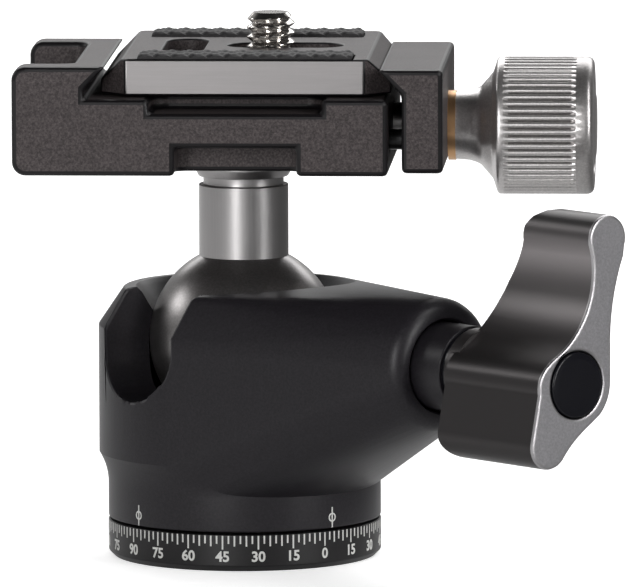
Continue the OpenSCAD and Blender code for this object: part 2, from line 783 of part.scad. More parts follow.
module camera_screw() {
    driver_w = 1.2;
    driver_depth = 1.1;
    thread_z = plate_top + camera_neck_h;
    color("silver") translate([camera_screw_x, plate_y, 0]) difference() {
        union() {
            translate([0, 0, head_z]) cylinder(r = camera_head_r, h = camera_head_h);
            translate([0, 0, head_z]) cylinder(r = camera_neck_r, h = thread_z + cut - head_z);
            translate([0, 0, thread_z]) cylinder(r = camera_screw_r, h = camera_screw_h - camera_neck_h);
        }
        translate([-camera_head_r - cut, -driver_w / 2, head_z - cut])
            cube([2 * (camera_head_r + cut), driver_w, driver_depth + cut]);
    }
}

base_plate();
reducing_insert();
pan_washer();
pan_nut();
housing();
retaining_plug();
plug_screws();
spindle_bush();
ball_seat();
seat_spring();
brake_shoe();
lock_spindle();
lever_collar();
lever_washer();
lever_handle();
lever_screw();
lever_cap();
ball_stem();
clamp_body();
centre_screw();
moving_jaw();
guide_pins();
clamp_screw();
thrust_washer();
clamp_knob();
knob_cap();
plate_body();
rubber_front();
rubber_rear();
screw_washer();
camera_screw();
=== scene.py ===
import json
import math

import bmesh
import bpy
from mathutils import Matrix, Vector


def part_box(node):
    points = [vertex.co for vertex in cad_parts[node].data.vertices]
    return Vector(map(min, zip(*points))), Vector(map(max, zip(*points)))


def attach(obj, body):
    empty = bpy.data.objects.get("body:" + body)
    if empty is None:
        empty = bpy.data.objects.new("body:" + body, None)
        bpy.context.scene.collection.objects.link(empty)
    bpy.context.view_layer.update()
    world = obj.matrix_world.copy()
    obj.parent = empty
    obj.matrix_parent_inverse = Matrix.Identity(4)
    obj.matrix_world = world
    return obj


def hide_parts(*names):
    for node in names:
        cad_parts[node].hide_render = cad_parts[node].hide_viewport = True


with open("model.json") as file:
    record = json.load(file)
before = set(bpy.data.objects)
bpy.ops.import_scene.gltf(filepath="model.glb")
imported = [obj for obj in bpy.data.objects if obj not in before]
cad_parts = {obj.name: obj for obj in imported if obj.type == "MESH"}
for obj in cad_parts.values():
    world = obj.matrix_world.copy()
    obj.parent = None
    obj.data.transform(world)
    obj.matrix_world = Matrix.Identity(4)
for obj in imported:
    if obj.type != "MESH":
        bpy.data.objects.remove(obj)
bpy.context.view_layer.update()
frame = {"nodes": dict(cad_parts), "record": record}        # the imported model: nodes, bodies and joints, in metres

metre = 1000             # millimetres in a metre; pieces are modelled in millimetres
joints = {joint["name"]: joint for joint in frame["record"]["behaviour"]["joints"]}
for joint in joints.values():
    joint["azimuth"] = math.degrees(math.atan2(joint["axis"][1], joint["axis"][0]))


def boxOf(node):         # a CAD node's lowest and highest corners, in millimetres
    low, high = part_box(node)
    return Vector(low) * metre, Vector(high) * metre


def axisFrame(jointName):            # local Z along the joint's axis, local Y upright
    joint = joints[jointName]
    z = Vector(joint["axis"]).normalized()
    x = Vector((0, 0, 1)).cross(z).normalized()
    spin = Matrix((x, z.cross(x), z)).transposed().to_4x4()
    return Matrix.Translation(Vector(joint["pos_m"]) * metre) @ spin


# shader maths

class Wire:              # a socket of a material that can be added, multiplied and so on
    def __init__(self, finish, socket):
        self.finish, self.socket = finish, socket

    def maths(self, operation, first, second):
        return self.finish.node("ShaderNodeMath", {"operation": operation}, {0: first, 1: second})

    def __add__(self, other): return self.maths("ADD", self, other)
    def __radd__(self, other): return self.maths("ADD", other, self)
    def __sub__(self, other): return self.maths("SUBTRACT", self, other)
    def __rsub__(self, other): return self.maths("SUBTRACT", other, self)
    def __mul__(self, other): return self.maths("MULTIPLY", self, other)
    def __rmul__(self, other): return self.maths("MULTIPLY", other, self)


class Nodes:             # a node tree that is being built up
    def __init__(self, tree):
        self.tree = tree

    def feed(self, socket, value):
        if isinstance(value, Wire):
            self.tree.links.new(value.socket, socket)
        elif isinstance(value, (tuple, list)) and socket.type == "RGBA":
            socket.default_value = (*value, 1)
        else:
            socket.default_value = value

    def node(self, kind, settings=None, inputs=None, output=0):
        made = self.tree.nodes.new(kind)
        for key, value in (settings or {}).items():
            if key == "stops":
                ramp = made.color_ramp
                while len(ramp.elements) < len(value):
                    ramp.elements.new(0.5)
                for element, (place, colour) in zip(ramp.elements, value):
                    element.position = place
                    element.color = (*colour, 1)
            else:
                setattr(made, key, value)
        for key, value in (inputs or {}).items():
            self.feed(made.inputs[key], value)
        return Wire(self, made.outputs[output])

    def blend(self, factor, dark, light):
        return self.node("ShaderNodeMix", {"data_type": "RGBA"}, {0: factor, 6: dark, 7: light}, output=2)


class Finish(Nodes):     # a material
    def __init__(self, name, **surface):
        self.material = bpy.data.materials.new(name)
        self.material.use_nodes = True
        super().__init__(self.material.node_tree)
        self.shader = self.tree.nodes["Principled BSDF"]
        for socket, value in surface.items():
            self.put(socket.replace("_", " "), value)

    def put(self, socket, value):
        self.feed(self.shader.inputs[socket], value)

    def place(self, scale=(1, 1, 1)):
        where = self.node("ShaderNodeTexCoord", output="Object")
        return self.node("ShaderNodeMapping", {"vector_type": "POINT"}, {"Vector": where, "Scale": scale})

    def noise(self, where, scale, detail=2.0, roughness=0.5):
        return self.node("ShaderNodeTexNoise", {"noise_dimensions": "3D"},
                         {"Vector": where, "Scale": scale, "Detail": detail, "Roughness": roughness})

    def bump(self, height, strength, depth):
        self.put("Normal", self.node("ShaderNodeBump", None,
                                     {"Height": height, "Strength": strength, "Distance": depth}))


def shaded(colour, factor):
    return tuple(channel * factor for channel in colour)


# bead-blasted and anodised metal: fine grain and faint clouds in the dye
def anodised(name, colour, roughness=0.42, metallic=0.5, grain=0.12, cloud=0.12, gloss=0.5):
    made = Finish(name, Metallic=metallic, Specular_IOR_Level=gloss)
    where = made.place()
    clouds = made.noise(where, 90, 3)
    specks = made.noise(where, 3400, 2, 0.7)
    dye = made.blend(clouds, shaded(colour, 1 - cloud), shaded(colour, 1 + cloud))
    made.put("Base Color", made.blend((specks - 0.35) * 2, shaded(colour, 1 - 2 * grain),
                                      made.blend(0.5 + grain, dye, shaded(colour, 1 + 2 * grain))))
    made.put("Roughness", roughness - 0.05 + clouds * 0.06 + specks * 0.06)
    made.bump(specks, grain, 0.00003)
    return made.material


# painted shade and painted reflection on the lever: its colour runs through these tones by height
leverPaintedShade = {
    "below": 0.011, "above": 0.022,     # metres from the hub's centre to the ends of the painted shade's run
    "warmth": (1, 0.93, 0.94),
    "tones": [(0, 0.046), (0.4, 0.05), (0.55, 0.12), (0.67, 0.09), (0.82, 0.28), (0.93, 0.06), (1, 0.035)],
}


# the lever's metal with painted shade and painted reflection by height: dark round the hub, lighter up the hollow
# back of its lobe and dark again at the tip
def leverMetal(centre):
    made = Finish("leverGrey", Metallic=0.85)
    where = made.place()
    height = made.node("ShaderNodeSeparateXYZ", None, {0: where}, output=2)
    along = made.node("ShaderNodeMapRange", None,
                      {"Value": height, "From Min": centre - leverPaintedShade["below"],
                       "From Max": centre + leverPaintedShade["above"]})
    stops = [(at, shaded(leverPaintedShade["warmth"], value)) for at, value in leverPaintedShade["tones"]]
    tone = made.node("ShaderNodeValToRGB", {"stops": stops}, {0: along})
    specks = made.noise(where, 3400, 2, 0.7)
    # the painted shade and reflection by height is the base colour
    made.put("Base Color", tone)
    made.put("Roughness", 0.32 + specks * 0.08)
    made.bump(specks, 0.12, 0.00003)
    return made.material


# metal with lines along or across it, from a brush or a lathe tool
def brushed(name, colour, stretch, roughness=0.32, depth=0.25, scale=2600):
    made = Finish(name, Metallic=1.0)
    lines = made.noise(made.place(stretch), scale, 3, 0.6)
    clouds = made.noise(made.place(), 120, 2)
    made.put("Base Color", made.blend(lines, shaded(colour, 0.86), shaded(colour, 1.06)))
    made.put("Roughness", roughness - 0.06 + lines * 0.1 + clouds * 0.06)
    made.bump(lines, depth, 0.00002)
    return made.material


# rings that a lathe leaves round an axis
def turned(name, colour, roughness=0.3, pitch=0.00012, axis="Z"):
    made = Finish(name, Metallic=1.0)
    where = made.place()
    wave = made.node("ShaderNodeTexWave", {"wave_type": "BANDS", "bands_direction": axis},
                     {"Vector": where, "Scale": 0.05 / pitch, "Distortion": 0.4, "Detail": 1.0}, output="Fac")
    clouds = made.noise(made.place(), 300, 3)
    made.put("Base Color", made.blend(clouds, shaded(colour, 0.85), colour))
    made.put("Roughness", roughness - 0.04 + clouds * 0.1)
    made.bump(wave, 0.12, 0.00002)
    return made.material


def moulded(name, colour, roughness=0.5, grain=0.1, scale=2500, gloss=0.5):
    made = Finish(name, Specular_IOR_Level=gloss)
    specks = made.noise(made.place(), scale, 2)
    clouds = made.noise(made.place(), 150, 2)
    made.put("Base Color", made.blend(clouds, shaded(colour, 0.88), shaded(colour, 1.12)))
    made.put("Roughness", roughness - 0.04 + clouds * 0.08)
    made.bump(specks, grain, 0.00003)
    return made.material


finishes = {
    "base_black": anodised("baseBlack", (0.009, 0.0084, 0.0092), 0.38, 0.1, gloss=0.35),
    "housing_black": anodised("housingBlack", (0.0165, 0.0147, 0.018), 0.38, 0.1, grain=0.2, gloss=0.3),
    "clamp_grey": anodised("clampGrey", (0.068, 0.057, 0.0575), 0.5, 0.15, grain=0.3, cloud=0.15, gloss=0.2),
    "lever_grey": leverMetal(joints["lock_lever"]["pos_m"][2]),
    "ball_silver": anodised("ballSilver", (0.28, 0.268, 0.266), 0.31, 0.95, grain=0.1, cloud=0.05),
    "knob_silver": anodised("knobSilver", (0.66, 0.638, 0.632), 0.33, 0.92, grain=0.1, cloud=0.04),
    "bare_aluminium": turned("bareAluminium", (0.7, 0.69, 0.68)),
    "bare_steel": turned("bareSteel", (0.5, 0.49, 0.48)),
    "black_steel": anodised("blackSteel", (0.02, 0.02, 0.021), 0.34, 0.6, grain=0.1),
    "chrome_screw": turned("brightScrew", (0.66, 0.63, 0.6), 0.16),
    "brass_parts": turned("turnedBrass", (0.7, 0.5, 0.2), 0.28),
    "bronze": turned("bronzeWasher", (0.66, 0.4, 0.21), 0.34, axis="X"),
    "nylon": moulded("nylon", (0.8, 0.78, 0.7), 0.5),
    "black_plastic": moulded("glossBlack", (0.005, 0.005, 0.007), 0.2, 0.03, gloss=0.25),
    "rubber_black": moulded("rubberBlack", (0.012, 0.011, 0.012), 0.7, 0.5, 3800),
}
print("finishes made")


# modelling helpers, in millimetres

def roundedPath(corners, closed=False, steps=5):
    # corners are (x, y) or (x, y, radius); each radius becomes an arc
    path = []
    count = len(corners)
    for index, corner in enumerate(corners):
        here = Vector(corner[:2])
        radius = corner[2] if len(corner) > 2 else 0
        if not radius or (not closed and index in (0, count - 1)):
            path.append(here)
            continue
        back = Vector(corners[index - 1][:2]) - here
        ahead = Vector(corners[(index + 1) % count][:2]) - here
        half = back.angle(ahead) / 2
        reach = min(radius / math.tan(half), 0.49 * min(back.length, ahead.length))
        start = here + back.normalized() * reach
        end = here + ahead.normalized() * reach
        for step in range(steps + 1):
            t = step / steps
            path.append(start * (1 - t) ** 2 + here * 2 * t * (1 - t) + end * t ** 2)
    return path


def arcPoints(centre, radius, start, end, count):
    # points on an arc, from one angle to another in degrees
    return [(centre[0] + radius * math.cos(math.radians(start + (end - start) * step / count)),
             centre[1] + radius * math.sin(math.radians(start + (end - start) * step / count)))
            for step in range(count + 1)]


def spun(corners, closed=False, segments=128, steps=5):
    # turns an (r, z) outline round Z
    bm = bmesh.new()
    path = roundedPath(corners, closed, steps)
    verts = [bm.verts.new((p.x, 0, p.y)) for p in path]
    edges = [bm.edges.new(pair) for pair in zip(verts, verts[1:])]
    if closed:
        edges.append(bm.edges.new((verts[-1], verts[0])))
    bmesh.ops.spin(bm, geom=verts + edges, cent=(0, 0, 0), axis=(0, 0, 1), angle=math.tau,
                   steps=segments, use_merge=True, use_duplicate=False)
    bmesh.ops.remove_doubles(bm, verts=bm.verts, dist=0.0005)
    bmesh.ops.recalc_face_normals(bm, faces=bm.faces)
    return bm


def extruded(corners, low, high):
    # raises a closed (x, y) outline from low to high
    bm = bmesh.new()
    face = bm.faces.new([bm.verts.new((x, y, low)) for x, y in corners])
    grown = bmesh.ops.extrude_face_region(bm, geom=[face])["geom"]
    bmesh.ops.translate(bm, verts=[item for item in grown if isinstance(item, bmesh.types.BMVert)],
                        vec=(0, 0, high - low))
    bmesh.ops.recalc_face_normals(bm, faces=bm.faces)
    return bm


def rod(radius, low, high, segments=96):
    return spun([(0, low), (radius, low), (radius, high), (0, high)], segments=segments)


def objectFrom(bm, name):
    mesh = bpy.data.meshes.new(name)
    bm.to_mesh(mesh)
    bm.free()
    made = bpy.data.objects.new(name, mesh)
    bpy.context.scene.collection.objects.link(made)
    return made


def combined(bm, tools):
    # cuts or joins each (mesh, operation) with the first one
    target = objectFrom(bm, "work")
    helpers = []
    for index, (tool, operation) in enumerate(tools):
        helper = objectFrom(tool, f"tool{index}")
        modifier = target.modifiers.new("join", "BOOLEAN")
        modifier.operation, modifier.object, modifier.solver = operation, helper, "EXACT"
        helpers.append(helper)
    bpy.context.view_layer.update()
    graph = bpy.context.evaluated_depsgraph_get()
    result = bmesh.new()
    result.from_mesh(target.evaluated_get(graph).to_mesh())
    for item in [target, *helpers]:
        mesh = item.data
        bpy.data.objects.remove(item)
        bpy.data.meshes.remove(mesh)
    bmesh.ops.remove_doubles(result, verts=result.verts, dist=0.001)
    return result


def softenEdges(bm, width, outerOnly):
    # rounds the sharp edges, and gives the rounded faces the second material, which on the clamp's pieces is a
    # near-black painted shade
    bmesh.ops.dissolve_limit(bm, angle_limit=math.radians(0.4), verts=bm.verts, edges=bm.edges)
    sharp = [edge for edge in bm.edges if len(edge.link_faces) == 2
             and edge.calc_face_angle(0) > math.radians(30) and (edge.is_convex or not outerOnly)]
    bmesh.ops.bevel(bm, geom=sharp, offset=width, offset_type="OFFSET", segments=3, profile=0.5,
                    affect="EDGES", clamp_overlap=False, material=1)
    return bm


def nextRing(bm, edges):
    # extrudes a ring of edges, and gives the corners and the edges of the new ring
    grown = bmesh.ops.extrude_edge_only(bm, edges=edges)["geom"]
    ring = [item for item in grown if isinstance(item, bmesh.types.BMVert)]
    inRing = set(ring)
    return ring, [item for item in grown if isinstance(item, bmesh.types.BMEdge)
                  and all(vert in inRing for vert in item.verts)]


def sliced(bm, height):
    # divides the faces that cross a height
    bmesh.ops.bisect_plane(bm, geom=bm.verts[:] + bm.edges[:] + bm.faces[:], plane_co=(0, 0, height),
                           plane_no=(0, 0, 1))


def fromCad(node):
    # a merged copy of a CAD node's mesh, in millimetres
    bm = bmesh.new()
    bm.from_mesh(frame["nodes"][node].data)
    bmesh.ops.scale(bm, vec=(metre,) * 3, verts=bm.verts)
    bmesh.ops.remove_doubles(bm, verts=bm.verts, dist=0.002)
    return bm


def piece(bm, name, body, slot, replaces=(), place=None, materials=(), smooth=35, even=True, flat=0):
    # names, places and smooths a finished mesh, and ties it to its CAD node and body
    if place is not None:
        bmesh.ops.transform(bm, matrix=place, verts=bm.verts)
    bmesh.ops.scale(bm, vec=(1 / metre,) * 3, verts=bm.verts)
    made = objectFrom(bm, name)
    for material in materials or [finishes[slot]]:
        made.data.materials.append(material)
    made.data.shade_smooth()
    made.data.set_sharp_from_angle(angle=math.radians(smooth))
    if flat:             # faces larger than this, in square millimetres, are shaded flat
        for polygon in made.data.polygons:
            polygon.use_smooth = polygon.area * metre ** 2 < flat
    if even:             # keeps large flat faces flat beside their rounded edges
        made.modifiers.new("even shading", "WEIGHTED_NORMAL").keep_sharp = True
    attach(made, body)
    if replaces:
        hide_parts(*replaces)
    return made


def wrapped(bm, radius, azimuth, height):
    # rolls a flat mesh, whose Z is its thickness, onto an upright cylinder
    for vert in bm.verts:
        angle = math.radians(azimuth) + vert.co.x / radius
        reach = radius + vert.co.z - panScale["sunk"]
        vert.co = Vector((reach * math.cos(angle), reach * math.sin(angle), height + vert.co.y))
    return bm


def merged(parts):
    total = bmesh.new()
    for part in parts:
        mesh = bpy.data.meshes.new("part")
        part.to_mesh(mesh)
        part.free()
        total.from_mesh(mesh)
        bpy.data.meshes.remove(mesh)
    return total


def block(low, high):
    bm = bmesh.new()
    size = Vector(high) - Vector(low)
    bmesh.ops.create_cube(bm, size=1, matrix=Matrix.Translation((Vector(low) + Vector(high)) / 2)
                          @ Matrix.Diagonal((*size, 1)))
    return bm


# panning base and its scale

base = {
    "edge": 0.35, "chamfer": 0.75, "threadRadius": 4.76, "flangeRadius": 6.4, "flangeDepth": 1.0,
    "spigotRadius": 7.0,
}


def makeBase():
    low, high = boxOf("base_plate")
    ringTop = boxOf("pan_washer")[0].z
    radius = high.x
    bm = spun([
        (base["threadRadius"], base["flangeDepth"]), (base["flangeRadius"], base["flangeDepth"]),
        (base["flangeRadius"], 0, 0.15), (radius - base["chamfer"], 0, 0.3),
        (radius, base["chamfer"], 0.3), (radius, ringTop, 0.22), (base["spigotRadius"], ringTop),
        (base["spigotRadius"], high.z, 0.2), (base["threadRadius"], high.z, 0.2),
    ], closed=True, segments=192)
    piece(bm, "basePlate", "base", "base_black", ["base_plate"])
    return radius, ringTop


panScale = {
    "divisions": 144, "mediumEvery": 2, "longEvery": 6,
    "tickWidth": 0.21, "short": 1.05, "medium": 1.4, "long": 1.8, "drop": 0.12,
    "digitHeight": 1.36, "fontPerDigit": 1.38, "digitBold": 0.05, "digitDrop": 3.5, "digitLift": 0.03,
    "sunk": 0.05, "paint": 0.02,     # how far a mark lies in the surface and stands out of it
    "zeroAt": 38.9,          # degrees from -Y towards +X
    "numbers": [0, 15, 30, 45, 60, 75, 90, 75, 60, 45, 30, 15] * 2,
}
markPaint = moulded("markPaint", (0.62, 0.62, 0.6), 0.55, 0.05)


def numberMesh(text, height):
    curve = bpy.data.curves.new("digits", "FONT")
    curve.body = text
    curve.size = height * panScale["fontPerDigit"]
    curve.align_x, curve.align_y = "CENTER", "BOTTOM_BASELINE"
    curve.offset = panScale["digitBold"]
    curve.extrude = panScale["sunk"]
    curve.resolution_u = 4
    made = bpy.data.objects.new("digits", curve)
    bpy.context.scene.collection.objects.link(made)
    bpy.context.view_layer.update()
    bm = bmesh.new()
    bm.from_mesh(made.evaluated_get(bpy.context.evaluated_depsgraph_get()).to_mesh())
    bpy.data.objects.remove(made)
    bpy.data.curves.remove(curve)
    bmesh.ops.remove_doubles(bm, verts=bm.verts, dist=0.001)
    return bm


def makeScale(radius, top):
    marks, numbers = [], []
    side = panScale["tickWidth"] / 2
    thickness = panScale["sunk"] + panScale["paint"]
    zero = panScale["zeroAt"] - 90
    for index in range(panScale["divisions"]):
        size = ("long" if index % panScale["longEvery"] == 0
                else "medium" if index % panScale["mediumEvery"] == 0 else "short")
        tick = block((-side, -panScale[size], 0), (side, 0, thickness))
        azimuth = zero + index * 360 / panScale["divisions"]
        marks.append(wrapped(tick, radius, azimuth, top - panScale["drop"]))
    piece(merged(marks), "scaleTicks", "base", "knob_silver", materials=[markPaint], smooth=20)
    for index, number in enumerate(panScale["numbers"]):
        digits = numberMesh(str(number), panScale["digitHeight"])
        bmesh.ops.translate(digits, verts=digits.verts, vec=(0, 0, panScale["digitLift"]))
        azimuth = zero + index * 360 / len(panScale["numbers"])
        numbers.append(wrapped(digits, radius, azimuth, top - panScale["digitDrop"]))
    piece(merged(numbers), "scaleNumbers", "base", "knob_silver", materials=[markPaint], smooth=20)


indexMark = {"rise": 0.1, "height": 2.7, "line": 0.2, "ring": 0.6, "ringLine": 0.19, "at": [42.8, -47.4]}


def makeIndexMarks(radius, floorZ):
    mark, marks = indexMark, []
    thickness = panScale["sunk"] + panScale["paint"]
    for azimuth in mark["at"]:
        line = block((-mark["line"] / 2, 0, 0), (mark["line"] / 2, mark["height"], thickness))
        marks.append(wrapped(line, radius, azimuth - 90, floorZ + mark["rise"]))
        outer, inner = mark["ring"], mark["ring"] - mark["ringLine"]
        ring = spun([(inner, 0), (outer, 0), (outer, thickness), (inner, thickness)], True, 28)
        bmesh.ops.translate(ring, verts=ring.verts, vec=(0, mark["height"] * 0.5, 0))
        marks.append(wrapped(ring, radius, azimuth - 90, floorZ + mark["rise"]))
    piece(merged(marks), "indexMarks", "housing", "knob_silver", materials=[markPaint], smooth=20)


# housing

housing = {
    "neckRadius": 18.0, "flareFrom": 9.6, "flareTo": 13.8, "bodyRadius": 19.2, "shoulder": 30.7,
    "rimRadius": 15.8, "rim": 35.7, "shoulderRound": 0.5, "rimRound": 0.7,
    "mouthRadius": 13.6, "mouth": 35.1, "lip": 32.4, "socketRadius": 12.55, "boreRadius": 12.6,
    "plugRadius": 14.2, "plugHeight": 4.4, "notchWidth": 13.9, "notchAzimuth": -138.5, "notchEdge": 0.42,
    "mouthRise": 4.0, "wallCuts": (0.7, 1.6, 3.2),
    "footShift": 1.0, "bossRadius": 8.8, "bossEnd": 40.5, "bossRound": 2.4,
    "counterbore": 6.1, "counterboreDepth": 7.0, "bushRadius": 5.9, "bushFrom": 18.9, "shoeRadius": 5.05,
}


def hulled(solids):
    # the convex hull of the solids' corners
    bm = bmesh.new()
    for vert in solids.verts:
        bm.verts.new(vert.co)
    solids.free()
    hull = bmesh.ops.convex_hull(bm, input=bm.verts)
    loose = [item for item in hull["geom_interior"] + hull["geom_unused"]
             if isinstance(item, bmesh.types.BMVert)]
    bmesh.ops.delete(bm, geom=list(set(loose)), context="VERTS")
    bmesh.ops.recalc_face_normals(bm, faces=bm.faces)
    return bm


def neckAndFlare(bottom):
    part = housing
    rise, reach = part["flareTo"] - part["flareFrom"], part["bodyRadius"] - part["neckRadius"]
    radius = (rise ** 2 + reach ** 2) / (2 * reach)
    turn = math.degrees(math.asin(rise / radius))
    flare = arcPoints((part["neckRadius"] + radius, part["flareFrom"]), radius, 180, 180 - turn, 8)[:-1]
    return spun([(0, bottom), (part["neckRadius"], bottom, 0.3), *flare,
                 (part["bodyRadius"] - 0.06, part["flareTo"] - 0.06),
                 (part["bodyRadius"] - 1, part["flareTo"] + 0.6), (0, part["flareTo"] + 0.6)], segments=144)


def bodyAndWeb(leverFrame):
    part = housing
    body = spun([
        (0, part["flareTo"]), (part["bodyRadius"], part["flareTo"]),
        (part["bodyRadius"], part["shoulder"], part["shoulderRound"]),
        (part["rimRadius"], part["rim"], part["rimRound"]), (0, part["rim"]),
    ], segments=144, steps=4)
    turn = math.radians(joints["lock_lever"]["azimuth"])
    foot = rod(part["neckRadius"] - part["footShift"] - 0.2, part["flareFrom"], part["flareFrom"] + 0.2)
    shift = Vector((math.cos(turn), math.sin(turn), 0)) * part["footShift"]
    bmesh.ops.translate(foot, verts=foot.verts, vec=shift)
    radius, curve, end = part["bossRadius"], part["bossRound"], part["bossEnd"]
    boss = spun([(0, end - curve - 1), (radius, end - curve - 1),
                 *arcPoints((radius - curve, end - curve), curve, 0, 90, 7), (0, end)], segments=96)
    bmesh.ops.transform(boss, matrix=leverFrame, verts=boss.verts)
    return hulled(merged([body, foot, boss]))


def makeHousing():
    part = housing
    bottom = boxOf("housing")[0].z
    leverFrame = axisFrame("lock_lever")
    centre = leverFrame.translation.z
    sphere = part["socketRadius"]
    lipAngle = math.degrees(math.asin((part["lip"] - centre) / sphere))
    rise = part["mouthRise"]
    socket = spun([
        (0, bottom - 1), (part["plugRadius"], bottom - 1), (part["plugRadius"], bottom + part["plugHeight"]),
        (part["boreRadius"], bottom + part["plugHeight"]), (part["boreRadius"], centre),
        *arcPoints((0, centre), sphere, 2, lipAngle, 5), (part["mouthRadius"], part["mouth"]),
        (part["mouthRadius"] + rise, part["mouth"] + rise), (0, part["mouth"] + rise),
    ])
    half = part["notchWidth"] / 2
    notch = extruded([(-half, 60), *arcPoints((0, 0), half, 180, 360, 20), (half, 60)], 0, 30)
    turn = [Matrix.Rotation(math.radians(angle), 4, axis)
            for angle, axis in ((part["notchAzimuth"], "Z"), (90, "Y"), (90, "Z"))]
    notchFrame = Matrix.Translation((0, 0, centre)) @ turn[0] @ turn[1] @ turn[2]
    bmesh.ops.transform(notch, matrix=notchFrame, verts=notch.verts)
    end, seat = part["bossEnd"], part["bossEnd"] - part["counterboreDepth"]
    bores = spun([
        (0, 5), (part["shoeRadius"], 5), (part["shoeRadius"], part["bushFrom"]),
        (part["bushRadius"], part["bushFrom"]), (part["bushRadius"], seat), (part["counterbore"], seat),
        (part["counterbore"], end - 0.25), (part["counterbore"] + 1, end + 0.75), (0, end + 0.75),
    ], segments=96)
    bmesh.ops.transform(bores, matrix=leverFrame, verts=bores.verts)
    bm = combined(bodyAndWeb(leverFrame), [(neckAndFlare(bottom), "UNION"), (socket, "DIFFERENCE"),
                                           (notch, "DIFFERENCE"), (bores, "DIFFERENCE")])

    toNotch = notchFrame.inverted()

    def onNotchEdge(vert):           # where the notch's wall meets the outside
        spot = toNotch @ vert.co
        wall = abs(spot.x) if spot.y > 0 else math.hypot(spot.x, spot.y)
        return abs(wall - half) < 0.02 and vert.co.xy.length > part["mouthRadius"] + 0.2

    rim = [vert for vert in bm.verts if onNotchEdge(vert)]
    bmesh.ops.remove_doubles(bm, verts=rim, dist=0.22)
    edges = [edge for edge in bm.edges if len(edge.link_faces) == 2
             and all(onNotchEdge(vert) for vert in edge.verts) and edge.calc_face_angle(0) > math.radians(35)]
    bmesh.ops.bevel(bm, geom=edges, offset=part["notchEdge"], offset_type="OFFSET", segments=2, profile=0.5,
                    affect="EDGES", clamp_overlap=False, material=-1)
    for below in part["wallCuts"]:   # short faces under the notch, so that its edge doesn't shade the wall
        sliced(bm, centre - half - below)
    return piece(bm, "housingShell", "housing", "housing_black", ["housing"], smooth=22, even=False)


# ball and stem

ball = {
    "radius": 12.5, "stemRadius": 5.9, "groove": 1.1, "grooveDepth": 0.6, "flange": 1.9, "flangeRadius": 6.5,
    "flangeEdge": 0.8, "rimWidth": 0.9,
}
stemMetal = brushed("stemMetal", (0.36, 0.35, 0.35), (1, 1, 0.03), 0.33, 0.12, 3800)


def makeBall():
    low, high = boxOf("ball_stem")
    radius = ball["radius"]
    middle = low.z + radius
    top, stem = high.z, ball["stemRadius"]
    arc = arcPoints((0, middle), radius, -90, math.degrees(math.acos(stem / radius)), 60)
    arc[0] = (0, low.z)
    grooveTop, inner = top - ball["flange"], stem - ball["grooveDepth"]
    neck = [
        (stem, grooveTop - ball["groove"], 0.15), (inner, grooveTop - ball["groove"], 0.1),
        (inner, grooveTop, 0.1), (stem, grooveTop, 0.15),
        (ball["flangeRadius"], top - ball["flangeEdge"], 0.3), (ball["flangeRadius"], top), (0, top),
    ]
    bm = spun(arc + neck, segments=160)
    sliced(bm, arc[-1][1] + ball["rimWidth"])
    for face in bm.faces:
        if face.calc_center_median().z > arc[-1][1] + 0.05:
            face.material_index = 1
    piece(bm, "ballStem", "ball", "ball_silver", ["ball_stem"],
          materials=[finishes["ball_silver"], stemMetal])


# lock lever

lever = {
    "neckFrom": 46.5, "neckRadius": 5.6, "hubBack": 47.6, "front": 66.0, "chamfer": 0.6, "edge": 0.6,
    "hubRadius": 6.4, "side": 5.9, "sideRadius": 28.4,
    "lobe": (5.4, 18.4), "lobeRadius": 3.1, "tail": (-4.6, -7.5), "tailRadius": 3.05, "tailBack": 3.0,
    "waistRadius": 12.0, "waistShift": (-14.5, -4.0), "lobeBack": 54.2,
    "capRadius": 4.22, "capRise": 0.3, "capDepth": 1.4, "capGap": 0.15, "shaft": 4.0, "shaftCover": 6.0,
    "collar": 5.75, "collarFrom": 34.3, "washer": 0.8,
    # the outline's soft turns below the waist and beside the tail: start, corner and end
    "waistTurn": ((-3.1, 4.01), (-6.3, 2.3), (-6.4, 0.2)),
    "tailTurn": ((-2.2, -9.4), (-0.4, -6.9), (3.6, -4.7)),
    # the hollow back, as (outwards from the hub's back, up), and then from the lobe's back and tip
    "hollow": [(0, 0), (0.07, 2.0), (0.22, 3.8), (0.45, 5.6), (0.82, 7.4), (1.4, 9.4), (2.3, 11.8),
               (3.8, 14.6), (5.3, 17.4)],
    "tip": [(-1.0, -2.2), (-0.2, -1.0), (1.2, -0.2), (3.0, 0.1)],
}
leverFace = anodised("leverFace", (0.5, 0.49, 0.51), 0.36, 0.9, grain=0.1, cloud=0.04)
leverBright = brushed("leverBright", (0.46, 0.45, 0.46), (1, 1, 1), 0.38, 0.1)


def bend(start, corner, end):
    # a curve from start to end that leans towards the corner
    return [tuple(a * (1 - t) ** 2 + b * 2 * t * (1 - t) + c * t ** 2 for a, b, c in zip(start, corner, end))
            for t in (0.1, 0.25, 0.4, 0.55, 0.7, 0.85)]


def leverOutline():
    part = lever
    lobe, tail = part["lobe"], part["tail"]
    waist = (lobe[0] + part["waistShift"][0], lobe[1] + part["waistShift"][1])
    return [
        *arcPoints(lobe, part["lobeRadius"], -20, 190, 22),
        *arcPoints(waist, part["waistRadius"], 10, -60, 17), *bend(*part["waistTurn"]),
        *arcPoints((0, 0), part["hubRadius"], 180, 188, 2),
        *arcPoints(tail, part["tailRadius"], 163, 318, 16), *bend(*part["tailTurn"]),
        *arcPoints((0, 0), part["side"], -46, 0, 8),
        *arcPoints((part["side"] + part["sideRadius"], 5), part["sideRadius"], 179, 157, 7),
    ]


def leverBackProfile():
    # the lever's back seen from its side, as (outwards, up) from the tail's underside to the lobe's tip
    part = lever
    low = part["tail"][1] - part["tailRadius"]
    high = part["lobe"][1] + part["lobeRadius"]
    back = part["hubBack"]
    return [
        *arcPoints((back + part["tailBack"], low + part["tailBack"]), part["tailBack"], 270, 180, 7),
        *[(back + out, up) for out, up in part["hollow"]],
        *[(part["lobeBack"] + out, high + up) for out, up in part["tip"]],
    ]


